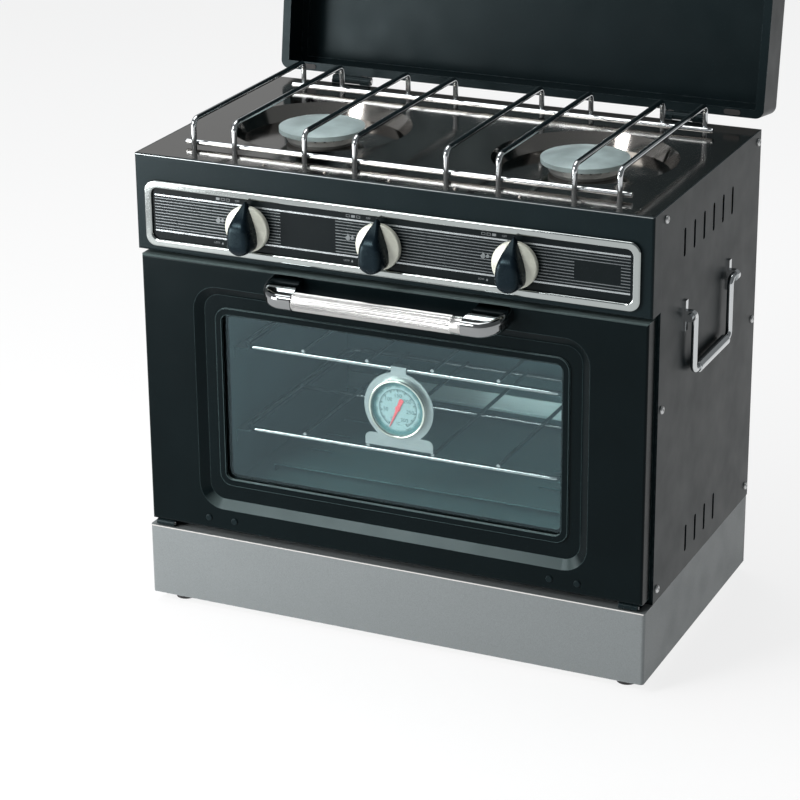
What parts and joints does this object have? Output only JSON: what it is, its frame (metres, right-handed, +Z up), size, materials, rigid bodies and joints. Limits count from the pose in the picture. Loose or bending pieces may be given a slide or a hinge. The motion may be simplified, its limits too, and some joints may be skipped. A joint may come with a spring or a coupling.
{
  "type": "gas stove with oven",
  "caption": "Tabletop camping stove with an oven: hob with gas burners under a lift-off wire grate, hinged lid, push-and-turn knobs, glazed drop-down door, wire racks and carry handles.",
  "frame": {"origin": "middle of the overall width and depth, on the floor under the feet", "axes": "+X to the right seen from the front, +Y to the back, +Z up; the door and knobs face -Y"},
  "size_m": [0.516, 0.4135, 0.7384],
  "materials": {
    "black_enamel": "gloss",
    "hob_steel": "polished",
    "oven_enamel": "gloss",
    "silver_paint": "satin",
    "striped_plate": "gloss",
    "chrome": "polished",
    "zinc_steel": "satin",
    "dial_steel": "satin",
    "brass": "satin",
    "cast_aluminium": "cast",
    "cap_enamel": "satin",
    "knob_plastic": "gloss",
    "cream_plastic": "gloss",
    "rubber": "matte",
    "seal_rubber": "matte",
    "glass_rope": "woven",
    "window_glass": "polished",
    "dial_glass": "polished",
    "dial_face": "satin",
    "pointer_red": "satin"
  },
  "bodies": {
    "stove": {"plinth": "silver_paint", "base_pan": "zinc_steel", "feet": "rubber", "side_panel_left": "black_enamel", "side_panel_right": "black_enamel", "rear_panel": "zinc_steel", "front_frame": "oven_enamel", "fascia": "black_enamel", "trim_frame": "chrome", "control_plate": "striped_plate", "hob_pan": "hob_steel", "burner_heads": "cast_aluminium", "mixer_tubes": "zinc_steel", "gas_valves": "brass", "manifold": "zinc_steel", "gas_inlet": "brass", "oven_feed_pipe": "zinc_steel", "oven_burner": "zinc_steel", "oven_liner": "oven_enamel", "rack_runners": "oven_enamel", "heat_spreader": "oven_enamel", "rear_baffle": "dial_steel", "door_gasket": "glass_rope", "magnet_catches": "knob_plastic", "door_hinge_bases": "zinc_steel", "lid_hinge_bases": "black_enamel", "hinge_pins": "zinc_steel", "carry_ears": "chrome"},
    "door": {"door_skin": "black_enamel", "window_seal": "seal_rubber", "window_glass": "window_glass", "door_liner": "oven_enamel", "handle_bar": "chrome", "handle_ends": "chrome", "door_fasteners": "black_enamel", "door_hinge_leaves": "zinc_steel"},
    "lid": {"lid_shell": "black_enamel", "lid_bumpers": "rubber", "lid_hinge_leaves": "black_enamel"},
    "burner_cap_left": {"burner_cap_left": "cap_enamel"},
    "burner_cap_right": {"burner_cap_right": "cap_enamel"},
    "stem_left": {"stem_left": "brass"},
    "stem_middle": {"stem_middle": "brass"},
    "stem_right": {"stem_right": "brass"},
    "knob_left": {"knob_disc_left": "cream_plastic", "knob_grip_left": "knob_plastic"},
    "knob_middle": {"knob_disc_middle": "cream_plastic", "knob_grip_middle": "knob_plastic"},
    "knob_right": {"knob_disc_right": "cream_plastic", "knob_grip_right": "knob_plastic"},
    "rack_lower": {"rack_lower": "chrome"},
    "rack_upper": {"rack_upper": "chrome"},
    "thermometer": {"thermometer_plate": "dial_steel", "thermometer_case": "dial_steel", "thermometer_dial": "dial_face", "thermometer_glass": "dial_glass"},
    "thermometer_pointer": {"thermometer_pointer": "pointer_red"},
    "carry_handle_left": {"carry_handle_left": "chrome"},
    "carry_handle_right": {"carry_handle_right": "chrome"},
    "grate": {"grate": "chrome"}
  },
  "joints": [
    {"name": "door_hinge", "type": "hinge", "parent": "stove", "child": "door", "pos_m": [0, -0.1679, 0.083], "axis": [1, 0, 0], "range_deg": [0, 90]},
    {"name": "lid_hinge", "type": "hinge", "parent": "stove", "child": "lid", "pos_m": [0, 0.1241, 0.446], "axis": [-1, 0, 0], "range_deg": [-98, 0]},
    {"name": "knob_left_push", "type": "slide", "parent": "stove", "child": "stem_left", "axis": [0, 1, 0], "range_m": [0, 0.0022], "stiffness_N_per_m": 600},
    {"name": "knob_left_turn", "type": "hinge", "parent": "stem_left", "child": "knob_left", "pos_m": [-0.1315, -0.1809, 0.3878], "axis": [0, -1, 0], "range_deg": [0, 160]},
    {"name": "knob_middle_push", "type": "slide", "parent": "stove", "child": "stem_middle", "axis": [0, 1, 0], "range_m": [0, 0.0022], "stiffness_N_per_m": 600},
    {"name": "knob_middle_turn", "type": "hinge", "parent": "stem_middle", "child": "knob_middle", "pos_m": [-0.0035, -0.1809, 0.3878], "axis": [0, -1, 0], "range_deg": [0, 160]},
    {"name": "knob_right_push", "type": "slide", "parent": "stove", "child": "stem_right", "axis": [0, 1, 0], "range_m": [0, 0.0022], "stiffness_N_per_m": 600},
    {"name": "knob_right_turn", "type": "hinge", "parent": "stem_right", "child": "knob_right", "pos_m": [0.1245, -0.1809, 0.3878], "axis": [0, -1, 0], "range_deg": [0, 160]},
    {"name": "burner_cap_left_lift", "type": "slide", "parent": "stove", "child": "burner_cap_left", "axis": [0, 0, 1], "range_m": [0, 0.015]},
    {"name": "burner_cap_right_lift", "type": "slide", "parent": "stove", "child": "burner_cap_right", "axis": [0, 0, 1], "range_m": [0, 0.015]},
    {"name": "grate_lift", "type": "slide", "parent": "stove", "child": "grate", "axis": [0, 0, 1], "range_m": [0, 0.04]},
    {"name": "rack_lower_slide", "type": "slide", "parent": "stove", "child": "rack_lower", "axis": [0, -1, 0], "range_m": [0, 0.008]},
    {"name": "rack_upper_slide", "type": "slide", "parent": "stove", "child": "rack_upper", "axis": [0, -1, 0], "range_m": [0, 0.002]},
    {"name": "thermometer_slide", "type": "slide", "parent": "rack_upper", "child": "thermometer", "axis": [1, 0, 0], "range_m": [-0.012, 0.012]},
    {"name": "thermometer_pointer_turn", "type": "hinge", "parent": "thermometer", "child": "thermometer_pointer", "pos_m": [0, -0.1459, 0.226], "axis": [0, 1, 0], "range_deg": [0, 270]},
    {"name": "carry_handle_left_swing", "type": "hinge", "parent": "stove", "child": "carry_handle_left", "pos_m": [-0.253, -0.0259, 0.33], "axis": [0, 1, 0], "range_deg": [0, 100]},
    {"name": "carry_handle_right_swing", "type": "hinge", "parent": "stove", "child": "carry_handle_right", "pos_m": [0.253, -0.0259, 0.33], "axis": [0, -1, 0], "range_deg": [0, 100]}
  ]
}
